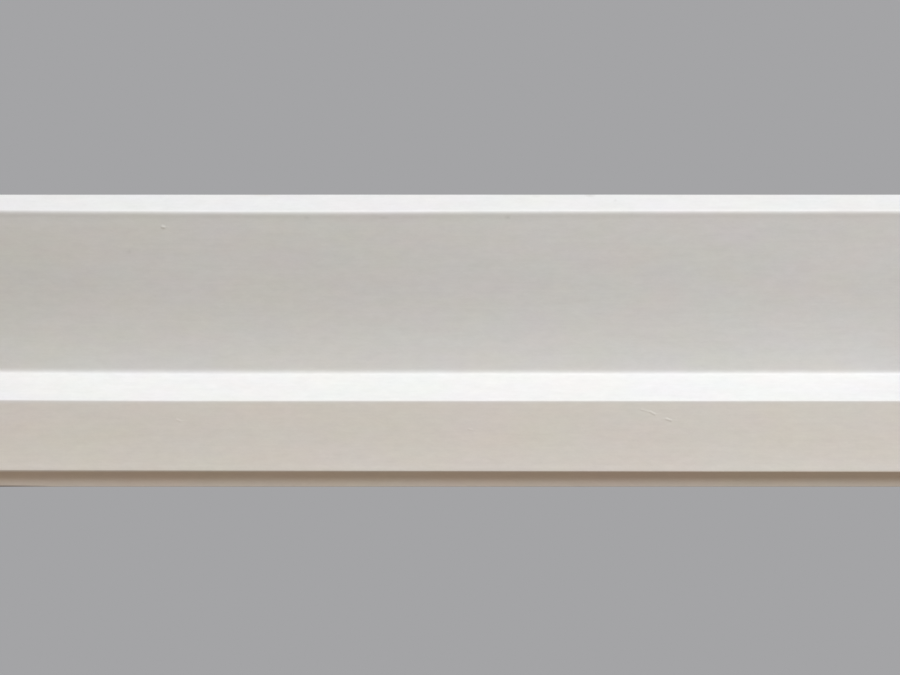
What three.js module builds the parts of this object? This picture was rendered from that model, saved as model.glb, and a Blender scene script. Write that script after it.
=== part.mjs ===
// One length of crown moulding, run from a single board and cut square at both ends.
// Millimetres. +Z is up, the wall is the plane y = 0, the room is towards -Y and the length runs along X.
// The origin is the middle of the face that bears on the wall.

import * as THREE from "three";

// Driving dimensions
const length = 366; // between the two square cuts
const springAngle = 45; // degrees between the wall and the flat back
const ceilingSeat = 11; // depth of the face that bears on the ceiling

const topFillet = 10.05; // height of the upright fillet under the ceiling

const longFlat = 30.4; // straight part of the long face, below the top fillet
const longSweep = 35.1; // hollow part that carries it on, measured along the curve
const longLean = 9; // degrees that the straight part leans past the back
const longTurn = 5.5; // degrees that the hollow part turns back

const stepFillet = 15.5; // height of the upright fillet between the two long faces

const shortFlat = 13.9; // straight part of the lower face
const shortSweep = 14.3; // hollow part that carries it on, measured along the curve
const shortLean = 3; // degrees that the straight part leans past the back
const shortTurn = 4.5; // degrees that the hollow part turns back

const soffit = 3.2; // depth of the level face under the lower arris
const quirkSlope = 3.95; // length of the slope that carries the soffit down to the wall
const quirkFall = 57; // degrees between that slope and the wall
const land = 0.3; // depth of the level edge at the foot of the wall seat

// Easing radii, in order down the face
const topEase = 0.6; // arris under the ceiling
const noseEase = 2.2; // arris below the top fillet
const hollowEase = 3.2; // inner corner above the step fillet
const stepEase = 1.1; // arris below the step fillet
const dripEase = 0.5; // arris above the soffit
const quirkEase = 6.5; // inner corner behind the soffit
const landEase = 0.4; // arris beside the level edge

// Facets of each curve
const easeFacets = 6;
const sweepFacets = 10;

// A profile being drawn from the ceiling down: x is the distance from the top arris towards the room, y is up.
// Falls are in degrees between a stroke and the plumb line, leaning back to the wall.
class Profile {
  constructor(ease) {
    this.corners = [{ point: new THREE.Vector2(), ease }];
  }

  get end() {
    return this.corners[this.corners.length - 1].point;
  }

  // A straight stroke that ends in a corner with the given easing radius.
  straight(distance, fall, ease = 0) {
    const angle = THREE.MathUtils.degToRad(fall);
    const stroke = new THREE.Vector2(-Math.sin(angle), -Math.cos(angle)).multiplyScalar(distance);
    this.corners.push({ point: this.end.clone().add(stroke), ease });
    return this;
  }

  // A hollow stroke that leaves along the fall and turns back to plumb, drawn in equal facets.
  hollow(distance, fall, turn, ease = 0) {
    for (let i = 0; i < sweepFacets; i++) {
      const facetFall = fall - (turn * (i + 0.5)) / sweepFacets;
      this.straight(distance / sweepFacets, facetFall, i === sweepFacets - 1 ? ease : 0);
    }
    return this;
  }

  // The outline with every eased corner replaced by an arc.
  outline() {
    return this.corners.flatMap(({ point, ease }, i, all) => {
      if (ease === 0) return [point];
      const back = all.at(i - 1).point.clone().sub(point).normalize();
      const onward = all[(i + 1) % all.length].point.clone().sub(point).normalize();
      const half = Math.acos(back.dot(onward)) / 2;
      const turn = (Math.PI - 2 * half) * Math.sign(onward.cross(back));
      const centre = point.clone().addScaledVector(back.clone().add(onward).normalize(), ease / Math.sin(half));
      const start = point.clone().addScaledVector(back, ease / Math.tan(half));
      return Array.from({ length: easeFacets + 1 }, (_, k) =>
        start.clone().rotateAround(centre, (turn * k) / easeFacets),
      );
    });
  }
}

// The face, from the ceiling down to the wall.
function face() {
  const longFall = springAngle + longLean;
  const shortFall = springAngle + shortLean;
  return new Profile(topEase)
    .straight(topFillet, 0, noseEase)
    .straight(longFlat, longFall)
    .hollow(longSweep, longFall, longTurn, hollowEase)
    .straight(stepFillet, 0, stepEase)
    .straight(shortFlat, shortFall)
    .hollow(shortSweep, shortFall, shortTurn, dripEase)
    .straight(soffit, 90, quirkEase)
    .straight(quirkSlope, quirkFall, landEase)
    .straight(land, 90);
}

// The closed section: the face, the seat on the wall, the sprung back and the seat on the ceiling.
function section() {
  const profile = face();
  const foot = profile.end;
  const drop = -foot.y;
  const backRun = -foot.x - ceilingSeat;
  const wallSeat = drop - backRun / Math.tan(THREE.MathUtils.degToRad(springAngle));
  profile.straight(wallSeat, 180);
  profile.corners.push({ point: new THREE.Vector2(-ceilingSeat, 0), ease: 0 });
  const origin = new THREE.Vector2(foot.x, foot.y + wallSeat / 2);
  return new THREE.Shape(profile.outline().map((point) => point.sub(origin)));
}

const paint = new THREE.MeshStandardMaterial({ color: "#e9e7e1", roughness: 0.5, metalness: 0 });

function crownMoulding() {
  const geometry = new THREE.ExtrudeGeometry(section(), { depth: length, steps: 1, bevelEnabled: false });
  const mesh = new THREE.Mesh(geometry, paint);
  mesh.name = "crown_moulding";
  // The section's x goes out into the room, its y goes up and its depth runs along the wall.
  mesh.rotation.set(Math.PI / 2, 0, -Math.PI / 2, "ZXY");
  mesh.position.x = length / 2;
  return mesh;
}

const part = new THREE.Group();
part.add(crownMoulding());

export default part;
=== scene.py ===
from math import ceil, exp, floor, radians

import bmesh
import bpy
from bpy.props import CollectionProperty, FloatProperty, FloatVectorProperty, PointerProperty
from mathutils import Matrix, Vector, noise


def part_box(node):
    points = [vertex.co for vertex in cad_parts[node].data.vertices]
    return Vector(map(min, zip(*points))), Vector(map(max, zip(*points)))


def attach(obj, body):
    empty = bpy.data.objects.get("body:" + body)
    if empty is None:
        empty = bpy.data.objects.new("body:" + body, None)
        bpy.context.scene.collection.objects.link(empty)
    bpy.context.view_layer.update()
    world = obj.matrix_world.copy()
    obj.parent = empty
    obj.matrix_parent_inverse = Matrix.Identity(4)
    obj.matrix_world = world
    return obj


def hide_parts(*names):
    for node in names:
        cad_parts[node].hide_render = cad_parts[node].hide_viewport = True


bl_info = {
    "name": "Crown moulding length",
    "version": (1, 0, 0),
    "blender": (4, 5, 0),
    "location": "3D View > Sidebar > Moulding",
    "description": "Dresses a length of painted crown moulding and sets its stage",
    "category": "Object",
}

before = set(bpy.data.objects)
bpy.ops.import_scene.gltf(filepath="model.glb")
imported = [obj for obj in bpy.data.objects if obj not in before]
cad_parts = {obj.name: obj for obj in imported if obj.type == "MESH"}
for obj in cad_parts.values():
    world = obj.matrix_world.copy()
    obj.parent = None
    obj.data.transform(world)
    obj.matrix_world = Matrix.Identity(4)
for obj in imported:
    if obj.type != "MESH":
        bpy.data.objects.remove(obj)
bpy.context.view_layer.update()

NODE = "crown_moulding"
BODY = "root"
MM = 0.001

# The moulding's own directions: the top arris, the way down its face and the way out of its face.
LOW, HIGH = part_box(NODE)
TOP_ARRIS = Vector((0, LOW.y, HIGH.z))
ALONG = Vector((1, 0, 0))
DOWN_FACE = Vector((0, 1, -1)).normalized()
OUT_OF_FACE = Vector((0, -1, -1)).normalized()

# Material slots of the finished piece
PAINTED, BARE, SEAT = range(3)

# How the board is read, cut and shaded
WELD = 0.001 * MM  # corners nearer than this are one
FLAT = radians(0.05)  # facets that meet at less than this are one flat
SLIVER = 0.04 * MM  # a cut that would leave less than this follows the line beside it
NEARLY = 0.9  # share past which an edge or a normal counts as running along the moulding
SQUARE_ON = 0.99  # share past which a face counts as square to a direction
ROUNDING = 0.001  # share of a step by which an edge may pass a whole number of steps
CREASE = radians(25)  # an arris sharper than this stays crisp

# How the paint wanders from true
WAVE_NARROWING = 2  # the waves are this many times shorter down the face than along it
WAVE_SEED = 3.7
DIP_START = 0.5  # in dip widths below the nose
BEAD_RISE = 1.5  # in bead widths above the drip


def down_face(point):
    """How far a point lies below the top arris, measured down the sprung face."""
    return (point - TOP_ARRIS).dot(DOWN_FACE)


def find_arrises():
    """How far down the face the nose, the inner corner, the step and the drip lie, from the CAD corners."""
    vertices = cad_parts[NODE].data.vertices
    corners = [(down_face(vert.co), vert.co.dot(OUT_OF_FACE)) for vert in vertices]
    step, most = max(corners, key=lambda corner: corner[1])
    nose = max((corner for corner in corners if corner[0] < step / 2), key=lambda corner: corner[1])[0]
    inner = min((corner for corner in corners if nose < corner[0] < step), key=lambda corner: corner[1])[0]
    drip = max(down for down, proud in corners if proud > most - MM)
    return nose, inner, step, drip


NOSE, INNER, STEP, DRIP = find_arrises()
FOOT = down_face(Vector((0, HIGH.y, LOW.z)))


class MouldingLook(bpy.types.PropertyGroup):
    """Sizes and colours of the painted length."""

    paint_colour: FloatVectorProperty(
        name="Paint", description="Colour of the plain paint",
        default=(0.863, 0.862, 0.842), min=0, max=1, subtype="COLOR",
    )
    # The bands' tones differ as painted light and shade, set band by band; the step fillet keeps the plain
    # paint
    fillet_colour: FloatVectorProperty(
        name="Top fillet", description="Colour of the top fillet",
        default=(0.833, 0.827, 0.809), min=0, max=1, subtype="COLOR",
    )
    face_colour: FloatVectorProperty(
        name="Long face", description="Colour of the long face",
        default=(0.822, 0.822, 0.805), min=0, max=1, subtype="COLOR",
    )
    # Painted warm bounce light: the paint below the step is warmer
    warm_lower_colour: FloatVectorProperty(
        name="Warm lower paint", description="Colour below the step, warmed as painted bounce light",
        default=(0.862, 0.827, 0.768), min=0, max=1, subtype="COLOR",
    )
    # Painted shadow with warm bounce light, in the quirk behind the drip
    quirk_shade_colour: FloatVectorProperty(
        name="Quirk shade", description="Colour of the quirk behind the drip",
        default=(0.568, 0.462, 0.362), min=0, max=1, subtype="COLOR",
    )
    # Painted shade: the paint darkens towards the left end
    left_shade_tint: FloatVectorProperty(
        name="Left shade tint", description="What the painted shade towards the left end leaves of the colour",
        default=(0.909, 0.904, 0.883), min=0, max=1, subtype="COLOR",
    )
    left_shade_reach: FloatProperty(
        name="Left shade reach", description="From the left end to where the painted shade has faded",
        default=366 * MM, min=MM, unit="LENGTH",
    )
    paint_roughness: FloatProperty(
        name="Paint roughness", description="Roughness of the paint film",
        default=0.42, min=0, max=1, subtype="FACTOR",
    )
    streak_width: FloatProperty(
        name="Streak width", description="Width of a brush streak",
        default=1.1 * MM, min=0.1 * MM, unit="LENGTH",
    )
    streak_length: FloatProperty(
        name="Streak length", description="Length of a brush streak",
        default=30 * MM, min=5 * MM, unit="LENGTH",
    )
    streak_depth: FloatProperty(
        name="Streak depth", description="Depth of a brush streak",
        default=0.01 * MM, min=0, unit="LENGTH",
    )
    grain_width: FloatProperty(
        name="Grain width", description="Width of the paint's grain",
        default=1.2 * MM, min=0.1 * MM, unit="LENGTH",
    )
    grain_depth: FloatProperty(
        name="Grain depth", description="Depth of the paint's grain",
        default=0.02 * MM, min=0, unit="LENGTH",
    )
    early_wood: FloatVectorProperty(
        name="Early wood", description="Colour between the rings",
        default=(0.66, 0.46, 0.26), min=0, max=1, subtype="COLOR",
    )
    late_wood: FloatVectorProperty(
        name="Late wood", description="Colour of the rings",
        default=(0.42, 0.24, 0.10), min=0, max=1, subtype="COLOR",
    )
    ring_width: FloatProperty(
        name="Ring width", description="Growth of one year",
        default=2.8 * MM, min=0.2 * MM, unit="LENGTH",
    )
    paint_lap: FloatProperty(
        name="Paint lap", description="How far the paint laps on to the seats",
        default=1.6 * MM, min=0, unit="LENGTH",
    )
    wave_height: FloatProperty(
        name="Wave", description="How far the face wanders from true",
        default=0.05 * MM, min=0, unit="LENGTH",
    )
    wave_length: FloatProperty(
        name="Wave length", description="Length of one wander of the face",
        default=45 * MM, min=MM, unit="LENGTH",
    )
    end_rise: FloatProperty(
        name="Rise at the end", description="How far the arrises rise at the left end",
        default=0.4 * MM, unit="LENGTH",
    )
    end_reach: FloatProperty(
        name="Reach of the rise", description="Where the rise starts, from the left end",
        default=90 * MM, min=MM, unit="LENGTH",
    )
    nose_sag: FloatProperty(
        name="Nose sag", description="How far the nose sags left of the middle",
        default=0.33 * MM, unit="LENGTH",
    )
    sag_place: FloatProperty(
        name="Place of the sag", description="Where the nose sags most",
        default=-55 * MM, unit="LENGTH",
    )
    sag_reach: FloatProperty(
        name="Reach of the sag", description="From its middle to where it has faded",
        default=70 * MM, min=MM, unit="LENGTH",
    )
    drip_fall: FloatProperty(
        name="Drip fall", description="How far the drip falls from the middle to one end",
        default=0.36 * MM, unit="LENGTH",
    )
    bead_height: FloatProperty(
        name="Paint bead", description="How proud the paint gathers over the drip",
        default=0.03 * MM, unit="LENGTH",
    )
    bead_width: FloatProperty(
        name="Bead width", description="Half width of the paint bead",
        default=0.8 * MM, min=0.1 * MM, unit="LENGTH",
    )
    nose_dip: FloatProperty(
        name="Nose dip", description="How far the face dips below the nose",
        default=0.06 * MM, unit="LENGTH",
    )
    dip_width: FloatProperty(
        name="Dip width", description="How fast the dip below the nose deepens",
        default=1.7 * MM, min=0.1 * MM, unit="LENGTH",
    )
    across_step: FloatProperty(
        name="Step across", description="Widest facet across the painted face",
        default=0.5 * MM, min=0.2 * MM, unit="LENGTH",
    )
    hidden_step: FloatProperty(
        name="Step at the back", description="Widest facet across the seats and the back",
        default=4 * MM, min=0.2 * MM, unit="LENGTH",
    )
    along_step: FloatProperty(
        name="Step along", description="Longest facet along the moulding",
        default=3 * MM, min=0.2 * MM, unit="LENGTH",
    )
    mark_step: FloatProperty(
        name="Step at a mark", description="Size of a facet in a raised mark",
        default=0.2 * MM, min=0.05 * MM, unit="LENGTH",
    )


class RaisedMarkLook(bpy.types.PropertyGroup):
    """One raised mark in the paint: where it starts and ends, and how proud it stands."""

    start: FloatVectorProperty(
        name="Start", description="Along the length and down the face",
        size=2, default=(0, 0), unit="LENGTH",
    )
    end: FloatVectorProperty(
        name="End", description="Along the length and down the face",
        size=2, default=(0, 0), unit="LENGTH",
    )
    half_width: FloatProperty(
        name="Half width", description="From the middle of the mark to its edge",
        default=MM, min=0.05 * MM, unit="LENGTH",
    )
    height: FloatProperty(
        name="Height", description="How proud it stands",
        default=0.2 * MM, min=0, unit="LENGTH",
    )


class SpotLook(bpy.types.PropertyGroup):
    """One small spot on the paint, a stain, except the painted shadow line at the foot: where it lies, how
    far it reaches and how strong it is in its middle.
    """

    place: FloatVectorProperty(
        name="Place", description="Along the length and down the face",
        size=2, default=(0, 0), unit="LENGTH",
    )
    reach: FloatVectorProperty(
        name="Reach", description="Along the length and down the face",
        size=2, default=(MM, MM), unit="LENGTH",
    )
    strength: FloatProperty(
        name="Strength", description="Share of the stain's own colour",
        default=0.1, min=0, max=1, subtype="FACTOR",
    )
    colour: FloatVectorProperty(
        name="Colour", description="Colour of the stain",
        default=(0.30, 0.28, 0.25), min=0, max=1, subtype="COLOR",
    )


class StageLook(bpy.types.PropertyGroup):
    """Floor, lights and camera."""

    floor_colour: FloatVectorProperty(
        name="Floor", description="Colour of the floor",
        default=(0.74, 0.67, 0.60), min=0, max=1, subtype="COLOR",
    )
    floor_roughness: FloatProperty(
        name="Floor roughness", description="Roughness of the floor",
        default=0.9, min=0, max=1, subtype="FACTOR",
    )
    floor_drop: FloatProperty(
        name="Floor drop", description="From the wall seat down to the floor",
        default=2.3, min=0.1, unit="LENGTH",
    )
    floor_width: FloatProperty(
        name="Floor width", description="Width of the floor",
        default=60, min=1, unit="LENGTH",
    )
    backdrop_colour: FloatVectorProperty(
        name="Backdrop", description="Colour behind the moulding",
        default=(0.371, 0.371, 0.381), min=0, max=1, subtype="COLOR",
    )
    key_power: FloatProperty(
        name="Key light", description="Power of the light in front",
        default=64, min=0, unit="POWER",
    )
    key_colour: FloatVectorProperty(
        name="Key colour", description="Colour of the light in front",
        default=(0.927, 0.952, 1), min=0, max=1, subtype="COLOR",
    )
    key_place: FloatVectorProperty(
        name="Key place", description="Where the light in front hangs",
        default=(0.5, -2.6, 0.7), subtype="TRANSLATION",
    )
    key_width: FloatProperty(
        name="Key width", description="Width of the light in front",
        default=2.4, min=0.1, unit="LENGTH",
    )
    key_height: FloatProperty(
        name="Key height", description="Height of the light in front",
        default=1.2, min=0.1, unit="LENGTH",
    )
    back_power: FloatProperty(
        name="Back light", description="Power of the light behind",
        default=40, min=0, unit="POWER",
    )
    back_colour: FloatVectorProperty(
        name="Back colour", description="Colour of the light behind",
        default=(1, 1, 1), min=0, max=1, subtype="COLOR",
    )
    back_place: FloatVectorProperty(
        name="Back place", description="Where the light behind hangs",
        default=(-1.0, 2.4, 1.8), subtype="TRANSLATION",
    )
    back_width: FloatProperty(
        name="Back width", description="Width of the light behind",
        default=2.0, min=0.1, unit="LENGTH",
    )
    back_height: FloatProperty(
        name="Back height", description="Height of the light behind",
        default=1.2, min=0.1, unit="LENGTH",
    )
    lens: FloatProperty(
        name="Lens", description="Focal length of the camera",
        default=150, min=10, unit="CAMERA",
    )
    camera_reach: FloatProperty(
        name="Camera reach", description="How far the camera sees",
        default=100, min=1, unit="LENGTH",
    )
    picture_width: FloatProperty(
        name="Picture width", description="Length of moulding across the picture",
        default=362 * MM, min=MM, unit="LENGTH",
    )
    picture_middle: FloatProperty(
        name="Picture middle", description="Middle of the picture, down the face",
        default=57.7 * MM, unit="LENGTH",
    )


def in_mm(*sizes):
    """Sizes given in millimetres, in metres."""
    return tuple(size * MM for size in sizes)


# Raised marks in the paint: start and end (along the length, down the face), half width, height.
RAISED_MARKS = (
    {"start": in_mm(-115.3, 13.3), "end": in_mm(-114.5, 13.4), "half_width": 0.8 * MM, "height": 0.17 * MM},
    {"start": in_mm(76.4, 86.5), "end": in_mm(79.8, 87.4), "half_width": 0.5 * MM, "height": 0.05 * MM},
    {"start": in_mm(80.2, 87.5), "end": in_mm(81.9, 88.4), "half_width": 0.65 * MM, "height": 0.11 * MM},
    {"start": in_mm(86.3, 90.2), "end": in_mm(88.3, 90.8), "half_width": 0.65 * MM, "height": 0.11 * MM},
    {"start": in_mm(-109.3, 90.6), "end": in_mm(-107.8, 91.2), "half_width": 0.6 * MM, "height": 0.05 * MM},
    {"start": in_mm(7.4, 94.3), "end": in_mm(9.0, 94.7), "half_width": 0.6 * MM, "height": 0.04 * MM},
)

# Small stains, from left to right; the first, a dark hairline at the left end of the foot, is a painted
# shadow line.
STAINS_AND_SHADOW_LINE = (
    # A painted shadow line along the foot at the left end
    {"place": (LOW.x, FOOT), "reach": in_mm(28, 0.8), "strength": 1, "colour": (0.10, 0.07, 0.06)},
    {"place": in_mm(-128.6, 23.3), "reach": in_mm(1.1, 1.1), "strength": 0.14},
    {"place": in_mm(-75.0, 0.5), "reach": in_mm(4.5, 0.6), "strength": 0.2, "colour": (0.55, 0.46, 0.30)},
    {"place": in_mm(-57.3, 9.7), "reach": in_mm(1.4, 0.8), "strength": 0.15},
    {"place": in_mm(-26.5, 9.7), "reach": in_mm(2.4, 0.8), "strength": 0.15},
    {"place": in_mm(23.1, 9.7), "reach": in_mm(1.6, 1.0), "strength": 0.22, "colour": (0.28, 0.33, 0.27)},
    {"place": in_mm(34.9, 0.9), "reach": in_mm(2.4, 0.8), "strength": 0.1},
    {"place": in_mm(56.3, 0.6), "reach": in_mm(2.6, 0.9), "strength": 0.25},
    {"place": in_mm(66.4, 2.6), "reach": in_mm(1.0, 0.8), "strength": 0.14},
)


def merged_copy(node):
    """The CAD node's loose triangles as one closed skin with whole flats."""
    bm = bmesh.new()
    bm.from_mesh(node.data)
    bmesh.ops.remove_doubles(bm, verts=bm.verts, dist=WELD)
    bmesh.ops.dissolve_limit(bm, angle_limit=FLAT, verts=bm.verts, edges=bm.edges)
    bm.normal_update()
    return bm


def is_end(face):
    """Whether a face belongs to one of the two sawn ends."""
    return abs(face.normal.x) > NEARLY


def slot_of(face):
    """The material slot of a face of the merged board, from the way it faces."""
    if is_end(face) or face.normal.dot(-OUT_OF_FACE) > SQUARE_ON:
        return BARE
    return SEAT if max(face.normal.y, face.normal.z) > SQUARE_ON else PAINTED


def runs_along(edge):
    """Whether an edge runs the length of the moulding."""
    span = edge.verts[1].co - edge.verts[0].co
    return abs(span.x) > NEARLY * span.length


def cut_edges(bm, edges, step):
    """Cuts edges into equal lengths no longer than a step, and joins the cuts over the faces between them."""
    alike = {}
    for edge in edges:
        alike.setdefault(ceil(edge.calc_length() / step - ROUNDING) - 1, []).append(edge)
    for cuts, group in alike.items():
        if cuts > 0:
            bmesh.ops.subdivide_edges(bm, edges=group, cuts=cuts, use_grid_fill=True)


def fine_places(marks, axis, step):
    """Evenly spaced places within reach of any mark, along the length (axis 0) or down the face (axis 1)."""
    counts = set()
    for mark in marks:
        low, high = sorted((mark.start[axis], mark.end[axis]))
        first, last = ceil((low - mark.half_width) / step), floor((high + mark.half_width) / step)
        counts.update(range(first, last + 1))
    return [count * step for count in sorted(counts)]


def cut_through(bm, faces, point, direction):
    """Cuts faces where the plane through a point, square to a direction, crosses them."""
    parts = dict.fromkeys(part for face in faces for part in (face, *face.edges, *face.verts))
    bmesh.ops.bisect_plane(bm, geom=list(parts), dist=SLIVER, plane_co=point, plane_no=direction)


def cut_into_facets(bm, look, marks):
    """Cuts the board's long strips across and along into facets fine enough to shape, finest at the marks."""
    across = [edge for edge in bm.edges if not runs_along(edge)]
    shown = [edge for edge in across if any(face.material_index == PAINTED for face in edge.link_faces)]
    cut_edges(bm, [edge for edge in across if edge not in shown], look.hidden_step)
    cut_edges(bm, shown, look.across_step)
    for place in fine_places(marks, 1, look.mark_step):
        painted = [face for face in bm.faces if face.material_index == PAINTED]
        cut_through(bm, painted, TOP_ARRIS + DOWN_FACE * place, DOWN_FACE)
    for place in fine_places(marks, 0, look.mark_step):
        cut_through(bm, bm.faces, ALONG * place, ALONG)
    cut_edges(bm, [edge for edge in bm.edges if runs_along(edge)], look.along_step)
    bmesh.ops.triangulate(bm, faces=[face for face in bm.faces if is_end(face)], ngon_method="BEAUTY")


def mark_distance(point, mark):
    """Distance from a point to the line from a mark's start to its end, as seen square to the face."""
    here = Vector((point.x, down_face(point)))
    start, end = Vector(mark.start), Vector(mark.end)
    line = end - start
    share = max(0, min(1, (here - start).dot(line) / line.length_squared))
    return (here - start - line * share).length


def ramp(start, end, value):
    """Climbs smoothly from 0 at the start to 1 at the end, which may lie on either side."""
    share = max(0, min(1, (value - start) / (end - start)))
    return share * share * (3 - 2 * share)


def shift_down(look, along, down):
    """How far the arrises wander down the face at a place: they rise at the left end, and the drip falls."""
    free = ramp(0, NOSE, down)
    near_end = max(0, 1 - (along - LOW.x) / look.end_reach)
    rise = look.end_rise * near_end**2 * ramp(DRIP, STEP, down)
    sag = look.nose_sag * exp(-(((along - look.sag_place) / look.sag_reach) ** 2)) * ramp(STEP, NOSE, down)
    fall = look.drip_fall * along / HIGH.x * ramp(STEP, DRIP, down) * ramp(FOOT, DRIP, down)
    return free * (sag - rise + fall)


def stand_proud(look, along, down):
    """How proud the paint stands at a place: a slight wave, a dip below the nose and a bead over the drip."""
    waves_along, waves_down = along / look.wave_length, down / look.wave_length * WAVE_NARROWING
    wave = noise.noise(Vector((waves_along, waves_down, WAVE_SEED)))
    below_nose = (down - NOSE) / look.dip_width - DIP_START
    dip = below_nose * exp(1 - below_nose) if below_nose > 0 else 0
    over_drip = (DRIP - down) / look.bead_width - BEAD_RISE
    return look.wave_height * wave - look.nose_dip * dip + look.bead_height * exp(-over_drip * over_drip)


def shape_face(bm, look, marks):
    """Lets the painted face wander a little from true and raises the marks in its paint."""
    bm.normal_update()
    moves = {}
    for vert in bm.verts:
        if any(face.material_index != PAINTED for face in vert.link_faces if not is_end(face)):
            continue
        along, down = vert.co.x, down_face(vert.co)
        rise = stand_proud(look, along, down)
        for mark in marks:
            reach = mark_distance(vert.co, mark) / mark.half_width
            if reach < 1:
                rise += mark.height * (1 - reach * reach) ** 2
        proud = vert.normal - ALONG * vert.normal.x
        moves[vert] = proud.normalized() * rise + DOWN_FACE * shift_down(look, along, down)
    for vert, move in moves.items():
        vert.co += move


def soften(piece):
    """Shades the piece smooth with crisp square corners, and lets the wide flats keep their own light."""
    bm = bmesh.new()
    bm.from_mesh(piece.data)
    for edge in bm.edges:
        edge.smooth = edge.calc_face_angle(0) < CREASE
    for face in bm.faces:
        face.smooth = True
    bm.to_mesh(piece.data)
    bm.free()
    flats = piece.modifiers.new("Flats", "WEIGHTED_NORMAL")
    flats.mode = "FACE_AREA"
    flats.keep_sharp = True


# The middle stretch of a noise, which is drawn out
NOISE_LOW, NOISE_HIGH = 0.3, 0.7


class Nodes:
    """A material's node tree, with one short call for each node."""

    def __init__(self, name):
        self.material = bpy.data.materials.new(name)
        self.material.use_nodes = True
        self.tree = self.material.node_tree
        self.shader = self.tree.nodes["Principled BSDF"]
        self.place = self.add("ShaderNodeTexCoord").outputs["Object"]

    def add(self, kind, inputs=None, **values):
        """A new node with its settings made and its sockets filled."""
        node = self.tree.nodes.new(kind)
        for name, value in values.items():
            setattr(node, name, value)
        for name, value in (inputs or {}).items():
            self.put(value, node.inputs[name])
        return node

    def put(self, value, socket):
        """Links an output to a socket, or sets the socket to a plain value."""
        if isinstance(value, bpy.types.NodeSocket):
            self.tree.links.new(value, socket)
        else:
            socket.default_value = value

    def noise(self, along, across, detail=3.0, roughness=0.55, seed=0.0):
        """Noise whose grains are long along the moulding and narrow across it."""
        scale = (1 / along, 1 / across, 1 / across)
        stretched = self.add(
            "ShaderNodeMapping", {"Vector": self.place, "Scale": scale, "Location": (seed, seed, seed)}
        )
        grains = self.add(
            "ShaderNodeTexNoise",
            {"Vector": stretched.outputs["Vector"], "Scale": 1.0, "Detail": detail, "Roughness": roughness},
        )
        return grains.outputs["Fac"]

    def between(self, value, low, high, to_low=0.0, to_high=1.0):
        """The value's stretch from low to high, drawn out to another range."""
        node = self.add(
            "ShaderNodeMapRange",
            {"Value": value, "From Min": low, "From Max": high, "To Min": to_low, "To Max": to_high},
        )
        return node.outputs["Result"]

    def spread(self, noise_value, to_low, to_high):
        """A noise drawn out to a range."""
        return self.between(noise_value, NOISE_LOW, NOISE_HIGH, to_low, to_high)

    def math(self, operation, *values):
        """One sum, product or the like."""
        node = self.add("ShaderNodeMath", operation=operation)
        for socket, value in zip(node.inputs, values):
            self.put(value, socket)
        return node.outputs["Value"]

    def mix(self, share, first, second, **values):
        """Two colours mixed by a share."""
        node = self.add("ShaderNodeMix", data_type="RGBA", **values)
        colours = [socket for socket in node.inputs if socket.type == "RGBA"]
        self.put(share, node.inputs["Factor"])
        self.put(first, colours[0])
        self.put(second, colours[1])
        return next(socket for socket in node.outputs if socket.type == "RGBA")

    def tinted(self, colour, tint, share=1.0):
        """A colour multiplied by a tint, as far as the share goes."""
        return self.mix(share, colour, tint, blend_type="MULTIPLY")

    def bump(self, height, depth, after=None):
        """A normal that follows a height, laid over another normal where one is given."""
        inputs = {"Height": height, "Strength": 1.0, "Distance": depth}
        if after:
            inputs["Normal"] = after
        return self.add("ShaderNodeBump", inputs).outputs["Normal"]

    def split_place(self):
        """The place on the piece as its three parts."""
        return self.add("ShaderNodeSeparateXYZ", {"Vector": self.place}).outputs

    def down_face(self):
        """How far the place lies below the top arris, measured down the sprung face."""
        reach = self.add("ShaderNodeVectorMath", operation="DOT_PRODUCT")
        self.put(self.place, reach.inputs[0])
        self.put(tuple(DOWN_FACE), reach.inputs[1])
        return self.math("SUBTRACT", reach.outputs["Value"], TOP_ARRIS.dot(DOWN_FACE))


def shade(colour, share=1.0):
    """An opaque colour, made darker or lighter by a share."""
    return (*(min(1, channel * share) for channel in colour), 1)


# Where the bands of the face change tone
ARRIS_BLEND = MM  # half of the change at an arris
DRIP_BLEND = 0.4 * MM  # half of the change at the drip, which is crisper
BOUNCE_REACH = 25 * MM  # how far above its inner corner painted bounce light from the step fillet starts to lighten the long face
BOUNCE_SHARE = 0.8  # how far that painted bounce light has lightened it at the corner
LOWER_LEFT_SHADE = 0.6  # share of the painted shade towards the left end that shows below the step
QUIRK_SHADOW_REACH = 2.5 * MM  # how far behind the drip the painted shadow stays darkest
QUIRK_SHADOW_FADE = 0.6  # share of that painted shadow that has faded at the foot, towards the warm lower tone

# Noises in the paint: how long and wide their grains are, and how much finer grain they hold
STROKES = {"along": 7 * MM, "across": 3 * MM, "detail": 4.0, "roughness": 0.8}
CLOUDS = {"along": 90 * MM, "across": 22 * MM, "detail": 2.0}
TINT_PATCHES = {"along": 32 * MM, "across": 14 * MM, "detail": 2.0}
PATCH_LOW, PATCH_HIGH = 0.32, 0.68

# How strongly streaks, strokes and clouds show, and the tones that they run between
STREAK_SHARE, STROKE_SHARE, CLOUD_SHARE = 0.25, 0.9, 0.25
DULL, BRIGHT = (0.935, 0.935, 0.935, 1), (1.03, 1.03, 1.03, 1)

# Faint tints in broad soft patches, each with its seed: greenish to pinkish, then bluish to yellowish
TINTS = (
    (3.1, (0.985, 1.0, 0.985, 1), (1.0, 0.983, 0.99, 1)),
    (8.4, (0.99, 0.993, 1.0, 1), (1.0, 0.996, 0.972, 1)),
)


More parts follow.
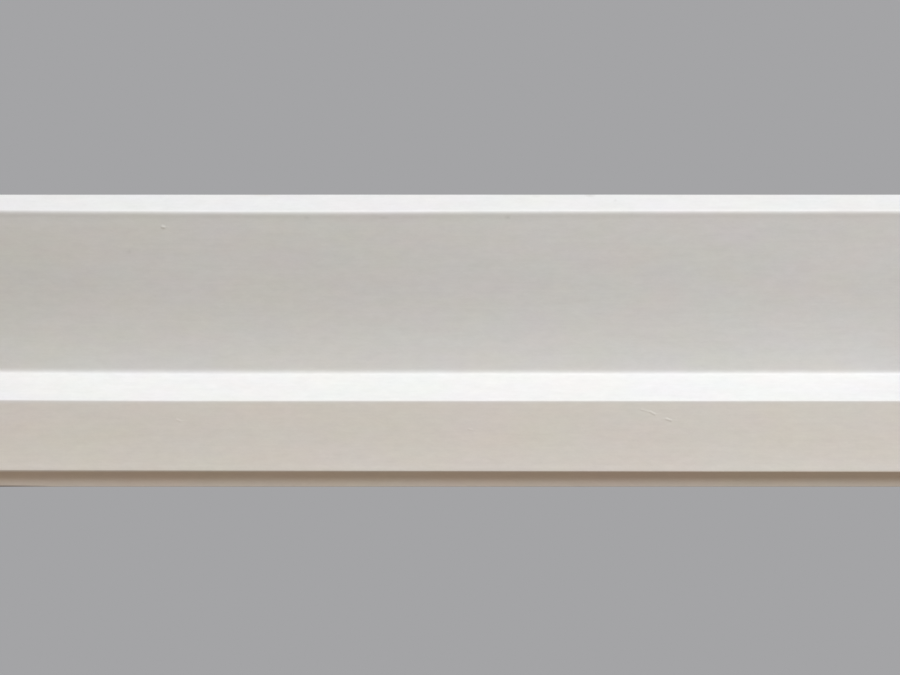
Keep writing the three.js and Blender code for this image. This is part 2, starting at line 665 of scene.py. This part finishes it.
def band_colour(nodes, look):
    """White paint in the tone of each band of the face; the tones differ as painted light and shade: painted
    bounce light on the long face near its inner corner, painted warm bounce light below the step, painted
    shadow in the quirk, and painted shade darkening towards the left end.
    """
    down = nodes.down_face()
    left_shade_share = nodes.between(nodes.split_place()["X"], LOW.x, LOW.x + look.left_shade_reach, 1, 0)
    plain_paint, warm_lower, quirk_shade = shade(look.paint_colour), shade(look.warm_lower_colour), shade(look.quirk_shade_colour)
    # Painted shade, darker towards the left end
    left_shade_colour = shade(look.left_shade_tint)
    # Painted bounce light from the step fillet, lightening the long face towards its inner corner
    painted_bounce = nodes.between(down, INNER - BOUNCE_REACH, INNER, 0, BOUNCE_SHARE)
    face = nodes.tinted(nodes.mix(painted_bounce, shade(look.face_colour), plain_paint), left_shade_colour, left_shade_share)
    # Painted warm bounce light below the step, with part of the painted shade towards the left end
    lower = nodes.tinted(warm_lower, left_shade_colour, nodes.math("MULTIPLY", left_shade_share, LOWER_LEFT_SHADE))
    # Painted shadow behind the drip, with warm bounce light, fading towards the foot
    quirk = nodes.mix(nodes.between(down, DRIP + QUIRK_SHADOW_REACH, FOOT, 0, QUIRK_SHADOW_FADE), quirk_shade, warm_lower)
    # Each band takes its own tone: painted light and shade, set band by band
    colour = shade(look.fillet_colour)
    for arris, blend, band in (
        (NOSE, ARRIS_BLEND, face),
        (INNER, ARRIS_BLEND, plain_paint),
        (STEP, ARRIS_BLEND, lower),
        (DRIP, DRIP_BLEND, quirk),
    ):
        colour = nodes.mix(nodes.between(down, arris - blend, arris + blend), colour, band)
    return colour


def paint_colour(nodes, look):
    """The paint of each band with faint tints, brush streaks, strokes and clouds."""
    colour = band_colour(nodes, look)
    for seed, first, second in TINTS:
        patch = nodes.between(nodes.noise(**TINT_PATCHES, seed=seed), PATCH_LOW, PATCH_HIGH)
        colour = nodes.tinted(colour, nodes.mix(patch, first, second))
    streaks = nodes.spread(nodes.noise(look.streak_length, look.streak_width), 0, STREAK_SHARE)
    strokes = nodes.spread(nodes.noise(**STROKES), 0, STROKE_SHARE)
    clouds = nodes.spread(nodes.noise(**CLOUDS), 0, CLOUD_SHARE)
    share = nodes.math("ADD", nodes.math("ADD", streaks, strokes), clouds)
    whole = STREAK_SHARE + STROKE_SHARE + CLOUD_SHARE
    return nodes.tinted(colour, nodes.mix(nodes.between(share, 0, whole), DULL, BRIGHT))


def stained_and_shaded(nodes, colour, stains):
    """Puts small stains, and a painted shadow line, on a colour, each fading out from its middle."""
    here = nodes.add("ShaderNodeCombineXYZ", {"X": nodes.split_place()["X"], "Y": nodes.down_face()})
    for stain in stains:
        scale = [1 / reach for reach in stain.reach]
        middle = [-place * share for place, share in zip(stain.place, scale)]
        offset = nodes.add(
            "ShaderNodeMapping",
            {"Vector": here.outputs["Vector"], "Location": (*middle, 0), "Scale": (*scale, 1)},
        )
        away = nodes.add("ShaderNodeVectorMath", {0: offset.outputs["Vector"]}, operation="LENGTH")
        share = nodes.between(away.outputs["Value"], 0, 1, stain.strength, 0)
        colour = nodes.mix(share, colour, shade(stain.colour))
    return colour


# The tree's heart lies behind the board and below it.
HEART_Y, HEART_Z = 70 * MM, -25 * MM

# The wood's rings and fibres
RING_DRIFT = {"along": 220 * MM, "across": 14 * MM, "detail": 2.0}
RING_WANDER = 9 * MM  # how far the rings drift
FIBRES = {"along": 40 * MM, "across": 0.5 * MM, "detail": 4.0}
FIBRE_LOW, FIBRE_HIGH = 0.35, 0.75
FIBRE_SHARE = 0.35  # how strongly the fibres show
FIBRE_SHADE = 0.8  # their tone, as a share of late wood's
FIBRE_DEPTH = 0.05 * MM
RING_SHARPNESS = 2.6  # the power by which a year darkens towards its end
RING_FAINT, RING_STRONG = 0.25, 0.9  # how dark the faintest and the strongest year get


def wood_colour(nodes, look):
    """The wood's colour, with its rings and its fibres, which run fine along the length."""
    place = nodes.split_place()
    across = nodes.math("SUBTRACT", place["Y"], HEART_Y)
    up = nodes.math("SUBTRACT", place["Z"], HEART_Z)
    squares = nodes.math("POWER", across, 2.0), nodes.math("POWER", up, 2.0)
    radius = nodes.math("SQRT", nodes.math("ADD", *squares))
    drift = nodes.math("MULTIPLY", nodes.noise(**RING_DRIFT), RING_WANDER)
    years = nodes.math("DIVIDE", nodes.math("ADD", radius, drift), look.ring_width)
    year = nodes.add("ShaderNodeTexWhiteNoise", {"W": nodes.math("FLOOR", years)}, noise_dimensions="1D")
    strength = nodes.between(year.outputs["Value"], 0, 1, RING_FAINT, RING_STRONG)
    season = nodes.math("POWER", nodes.math("FRACT", years), RING_SHARPNESS)
    rings = nodes.math("MULTIPLY", season, strength)
    fibres = nodes.noise(**FIBRES)
    wood = nodes.mix(rings, shade(look.early_wood), shade(look.late_wood))
    fibrous = nodes.between(fibres, FIBRE_LOW, FIBRE_HIGH, 0, FIBRE_SHARE)
    return nodes.mix(fibrous, wood, shade(look.late_wood, FIBRE_SHADE)), rings, fibres


GLOSS_DROP, GLOSS_RISE = 0.04, 0.06  # how far the paint's roughness runs below and above its mean
GLOSS_STRETCH = 2  # patches of gloss are this much wider, and as much shorter, than the streaks
GRAIN_STRETCH = 1.8  # how much longer than wide the paint's grain is
GRAIN_DETAIL = 2.0


def painted_material(look, stains):
    """Satin white paint, brushed along the length."""
    nodes = Nodes("Brushed satin paint")
    nodes.put(stained_and_shaded(nodes, paint_colour(nodes, look), stains), nodes.shader.inputs["Base Color"])
    gloss = nodes.noise(look.streak_length / GLOSS_STRETCH, look.streak_width * GLOSS_STRETCH)
    roughness = nodes.spread(gloss, look.paint_roughness - GLOSS_DROP, look.paint_roughness + GLOSS_RISE)
    nodes.put(roughness, nodes.shader.inputs["Roughness"])
    streaks = nodes.noise(look.streak_length, look.streak_width)
    grain = nodes.noise(look.grain_width * GRAIN_STRETCH, look.grain_width, detail=GRAIN_DETAIL)
    brushed = nodes.bump(streaks, look.streak_depth)
    nodes.put(nodes.bump(grain, look.grain_depth, brushed), nodes.shader.inputs["Normal"])
    return nodes.material


EARLY_ROUGHNESS, LATE_ROUGHNESS = 0.72, 0.58  # of the wood between the rings and in them


def bare_material(look):
    """Bare softwood, as it leaves the plane and the saw."""
    nodes = Nodes("Bare softwood")
    colour, rings, fibres = wood_colour(nodes, look)
    nodes.put(colour, nodes.shader.inputs["Base Color"])
    nodes.put(nodes.between(rings, 0, 1, EARLY_ROUGHNESS, LATE_ROUGHNESS), nodes.shader.inputs["Roughness"])
    nodes.put(nodes.bump(fibres, FIBRE_DEPTH), nodes.shader.inputs["Normal"])
    return nodes.material


LAP_NOISE = {"along": 9 * MM, "across": 2.5 * MM, "detail": 4.0}
LAP_LOW, LAP_HIGH = 0.25, 0.75  # the stretch of that noise that counts
LAP_LEAST, LAP_MOST = 0.25, 1.75  # shares of the mean lap that the paint's edge runs between
LAP_BLEND = 0.1 * MM  # half of the change from paint to wood
SEAT_ROUGHNESS = 0.68


def seat_material(look):
    """Bare softwood with the paint lapping raggedly over the arris."""
    nodes = Nodes("Softwood seat with a paint lap")
    place = nodes.split_place()
    from_front = nodes.math("SUBTRACT", place["Y"], LOW.y)
    from_foot = nodes.math("SUBTRACT", place["Z"], LOW.z)
    from_arris = nodes.math("MINIMUM", from_front, from_foot)
    least, most = LAP_LEAST * look.paint_lap, LAP_MOST * look.paint_lap
    edge = nodes.between(nodes.noise(**LAP_NOISE), LAP_LOW, LAP_HIGH, least, most)
    painted = nodes.between(nodes.math("SUBTRACT", edge, from_arris), -LAP_BLEND, LAP_BLEND)
    wood, _, fibres = wood_colour(nodes, look)
    nodes.put(nodes.mix(painted, wood, paint_colour(nodes, look)), nodes.shader.inputs["Base Color"])
    roughness = nodes.between(painted, 0, 1, SEAT_ROUGHNESS, look.paint_roughness)
    nodes.put(roughness, nodes.shader.inputs["Roughness"])
    nodes.put(nodes.bump(fibres, FIBRE_DEPTH), nodes.shader.inputs["Normal"])
    return nodes.material


class MOULDING_OT_make_length(bpy.types.Operator):
    """Make the painted length of moulding in place of its CAD node"""

    bl_idname = "moulding.make_length"
    bl_label = "Make the moulding"

    def execute(self, context):
        scene = context.scene
        look = scene.moulding_look
        bm = merged_copy(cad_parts[NODE])
        for face in bm.faces:
            face.material_index = slot_of(face)
        cut_into_facets(bm, look, scene.moulding_marks)
        shape_face(bm, look, scene.moulding_marks)
        mesh = bpy.data.meshes.new("painted_length")
        bm.to_mesh(mesh)
        bm.free()
        piece = bpy.data.objects.new("painted_length", mesh)
        scene.collection.objects.link(piece)
        painted = painted_material(look, scene.moulding_stains)
        for material in (painted, bare_material(look), seat_material(look)):
            mesh.materials.append(material)
        soften(piece)
        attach(piece, BODY)
        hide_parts(NODE)
        return {"FINISHED"}


def lay_floor(stage):
    """A wide plain floor under the moulding."""
    bm = bmesh.new()
    place = Matrix.Translation((0, 0, -stage.floor_drop))
    bmesh.ops.create_grid(bm, x_segments=1, y_segments=1, size=stage.floor_width / 2, matrix=place)
    mesh = bpy.data.meshes.new("floor")
    bm.to_mesh(mesh)
    bm.free()
    floor_piece = bpy.data.objects.new("floor", mesh)
    bpy.context.scene.collection.objects.link(floor_piece)
    material = bpy.data.materials.new("Plain floor")
    material.use_nodes = True
    shader = material.node_tree.nodes["Principled BSDF"]
    shader.inputs["Base Color"].default_value = shade(stage.floor_colour)
    shader.inputs["Roughness"].default_value = stage.floor_roughness
    mesh.materials.append(material)


def fill_backdrop(stage):
    """An even backdrop all round."""
    world = bpy.data.worlds.new("Backdrop")
    world.use_nodes = True
    world.node_tree.nodes["Background"].inputs["Color"].default_value = shade(stage.backdrop_colour)
    bpy.context.scene.world = world


def hang_light(name, place, size, power, colour):
    """A soft rectangular light that faces the moulding and that the camera doesn't see."""
    lamp = bpy.data.lights.new(name, "AREA")
    lamp.shape = "RECTANGLE"
    lamp.size, lamp.size_y = size
    lamp.energy = power
    lamp.color = colour
    light = bpy.data.objects.new(name, lamp)
    bpy.context.scene.collection.objects.link(light)
    light.location = place
    aim = (LOW + HIGH) / 2 - Vector(place)
    light.rotation_euler = aim.to_track_quat("-Z", "Y").to_euler()
    light.visible_camera = False


def set_camera(stage):
    """A long lens square to the sprung face, from below and in front."""
    data = bpy.data.cameras.new("Camera")
    data.lens = stage.lens
    data.clip_end = stage.camera_reach
    camera = bpy.data.objects.new("Camera", data)
    bpy.context.scene.collection.objects.link(camera)
    bpy.context.scene.camera = camera
    distance = stage.picture_width * data.lens / data.sensor_width
    middle = TOP_ARRIS + DOWN_FACE * stage.picture_middle
    turn = Matrix((ALONG, -DOWN_FACE, OUT_OF_FACE)).transposed()
    camera.matrix_world = Matrix.Translation(middle + OUT_OF_FACE * distance) @ turn.to_4x4()


class MOULDING_OT_set_stage(bpy.types.Operator):
    """Lay the floor, fill the backdrop, hang the lights and set the camera"""

    bl_idname = "moulding.set_stage"
    bl_label = "Set the stage"

    def execute(self, context):
        stage = context.scene.moulding_stage
        lay_floor(stage)
        fill_backdrop(stage)
        key_size, back_size = (stage.key_width, stage.key_height), (stage.back_width, stage.back_height)
        hang_light("Key", stage.key_place, key_size, stage.key_power, stage.key_colour)
        hang_light("Back", stage.back_place, back_size, stage.back_power, stage.back_colour)
        set_camera(stage)
        context.scene.view_settings.view_transform = "Standard"
        return {"FINISHED"}


class MOULDING_PT_sidebar(bpy.types.Panel):
    """Lists what makes the moulding and its stage"""

    bl_idname = "MOULDING_PT_sidebar"
    bl_label = "Crown moulding"
    bl_space_type = "VIEW_3D"
    bl_region_type = "UI"
    bl_category = "Moulding"

    def draw(self, context):
        scene = context.scene
        for operator, settings in (
            (MOULDING_OT_make_length, scene.moulding_look),
            (MOULDING_OT_set_stage, scene.moulding_stage),
        ):
            box = self.layout.box()
            for name in settings.__annotations__:
                box.prop(settings, name)
            box.operator(operator.bl_idname)


CLASSES = (
    MouldingLook,
    RaisedMarkLook,
    SpotLook,
    StageLook,
    MOULDING_OT_make_length,
    MOULDING_OT_set_stage,
    MOULDING_PT_sidebar,
)


def register():
    """Makes the classes and the scene's settings known to Blender."""
    for cls in CLASSES:
        bpy.utils.register_class(cls)
    bpy.types.Scene.moulding_look = PointerProperty(type=MouldingLook)
    bpy.types.Scene.moulding_stage = PointerProperty(type=StageLook)
    bpy.types.Scene.moulding_marks = CollectionProperty(type=RaisedMarkLook)
    bpy.types.Scene.moulding_stains = CollectionProperty(type=SpotLook)


def unregister():
    """Takes the settings and the classes away again."""
    del bpy.types.Scene.moulding_stains
    del bpy.types.Scene.moulding_marks
    del bpy.types.Scene.moulding_stage
    del bpy.types.Scene.moulding_look
    for cls in reversed(CLASSES):
        bpy.utils.unregister_class(cls)


def main():
    """Makes the moulding and its stage."""
    register()
    scene = bpy.context.scene
    for rows, kept in ((RAISED_MARKS, scene.moulding_marks), (STAINS_AND_SHADOW_LINE, scene.moulding_stains)):
        for row in rows:
            item = kept.add()
            for name, value in row.items():
                setattr(item, name, value)
    bpy.ops.moulding.make_length()
    bpy.ops.moulding.set_stage()


if __name__ == "__main__":
    main()
